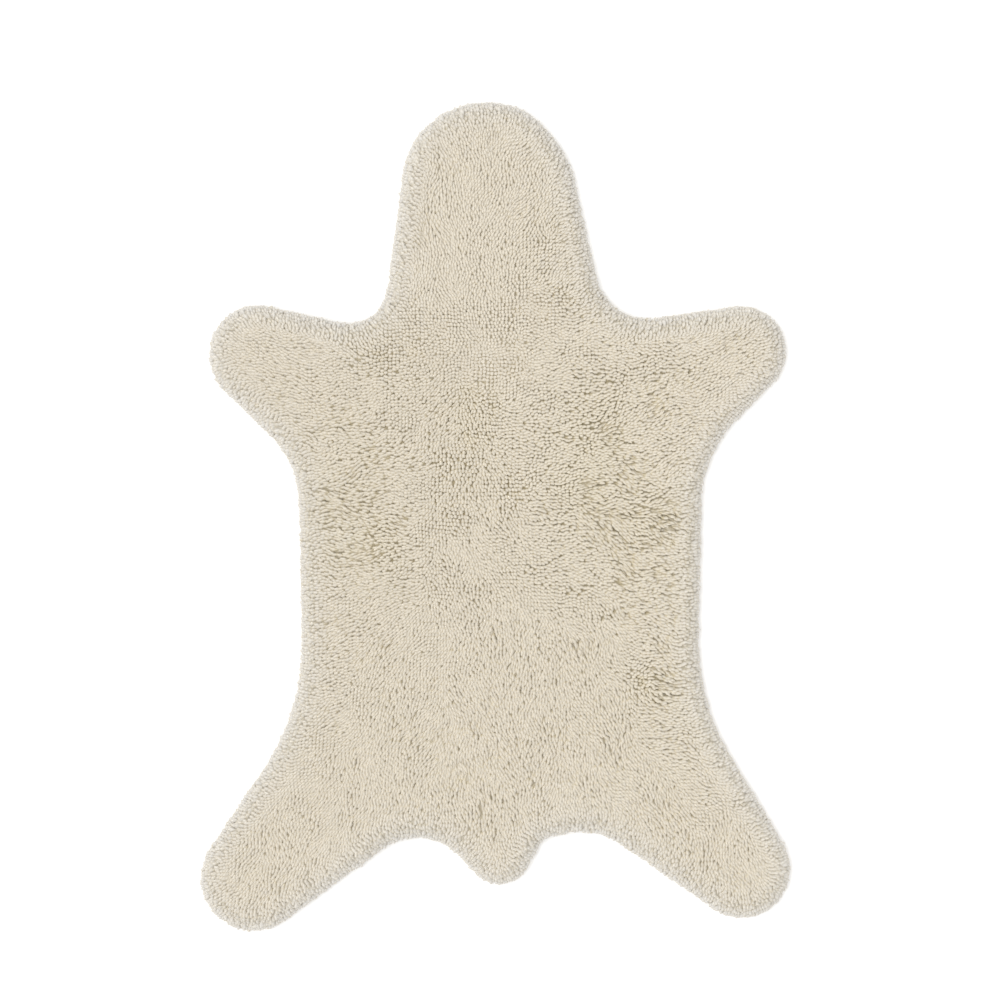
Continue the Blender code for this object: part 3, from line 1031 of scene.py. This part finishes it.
rng = np.random.default_rng(SEED)
edge = edge_tufts(rng)
grid = grid_tufts(rng, edge[0] + edge[2][:, :2])
roots, knees, ends, tips = [np.concatenate(parts) for parts in zip(grid, edge)]
heads = roots + ends[:, :2]
insets, _ = depth_inside(heads)
flatness = how_flat(ends[:, :2])
opens = openness(heads)
girths = tuft_girths(rng, heads, flatness, insets, opens)
all_fields = {
    "root": np.column_stack([roots, np.full(len(roots), ROOT_HEIGHT)]),
    "knee": knees,
    "end": ends,
    "girth": girths,
    "tip": tips,
    "cell": tuft_cells(rng, heads, ends, insets),
    "crest": tuft_crests(knees, ends, girths, flatness, insets, opens),
}
yarn_tree = tuft_tree(yarn_material())

for band in BANDS:
    chosen = (heads[:, 1] >= band.low * MM) & (heads[:, 1] < band.high * MM)
    pile = tuft_points(band.name, {name: values[chosen] for name, values in all_fields.items()})
    lay_on_cells(swept(pile, yarn_tree))
    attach(pile, "root")
    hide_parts("pile_rug")

# Points along the cloth's cut edge
cloth_edge, _ = along_edge(count=4000, inset=CLOTH_INSET)


# -------------------------------------------------------------------------------------------------
# Studio. The rug lies on a plain white floor, seen from straight above, in soft white light from
# all round that is a little stronger from the left.

FRAME_WIDTH = 1.449  # metres of floor across the picture
CAMERA_HEIGHT = 6.0
CAMERA_LENS = 150.0
LOOKS_AT = (0.0065, 0.0239)
FLOOR_SIZE = 12.0
FLOOR_DROP = 0.3 * MM  # so that the floor and the underside of the cloth don't share a plane


def studio_floor():
    bpy.ops.mesh.primitive_plane_add(size=FLOOR_SIZE, location=(0, 0, -FLOOR_DROP))
    floor = bpy.context.object
    floor.name = "floor"
    material = bpy.data.materials.new("white_floor")
    material.use_nodes = True
    shader = material.node_tree.nodes["Principled BSDF"]
    shader.inputs["Base Color"].default_value = (0.97, 0.97, 0.97, 1)
    shader.inputs["Roughness"].default_value = 1.0
    shader.inputs["Specular IOR Level"].default_value = 0.0
    shader.inputs["Emission Color"].default_value = (1, 1, 1, 1)
    shader.inputs["Emission Strength"].default_value = 0.1
    floor.data.materials.append(material)


def studio_sun(name, direction, spread, strength):
    """Light from a wide patch of the ceiling in this direction, its spread in degrees."""
    lamp = bpy.data.lights.new(name, "SUN")
    lamp.angle = math.radians(spread)
    lamp.energy = strength
    light = bpy.data.objects.new(name, lamp)
    light.location = Vector(direction) * 3
    light.rotation_euler = (-Vector(direction)).to_track_quat("-Z", "Y").to_euler()
    bpy.context.scene.collection.objects.link(light)


def studio_world(strength):
    world = bpy.data.worlds.new("studio")
    world.use_nodes = True
    background = world.node_tree.nodes["Background"]
    background.inputs["Color"].default_value = (1, 1, 1, 1)
    background.inputs["Strength"].default_value = strength
    bpy.context.scene.world = world


studio_floor()
studio_world(strength=0.936)
studio_sun("overhead softbox", direction=(-0.76, 0.08, 1.3), spread=55, strength=1.02)

camera_data = bpy.data.cameras.new("camera")
camera_data.lens = CAMERA_LENS
camera_data.sensor_width = CAMERA_LENS * FRAME_WIDTH / CAMERA_HEIGHT
camera = bpy.data.objects.new("camera", camera_data)
camera.location = (*LOOKS_AT, CAMERA_HEIGHT)
bpy.context.scene.collection.objects.link(camera)
bpy.context.scene.camera = camera
bpy.context.scene.view_settings.view_transform = "Standard"
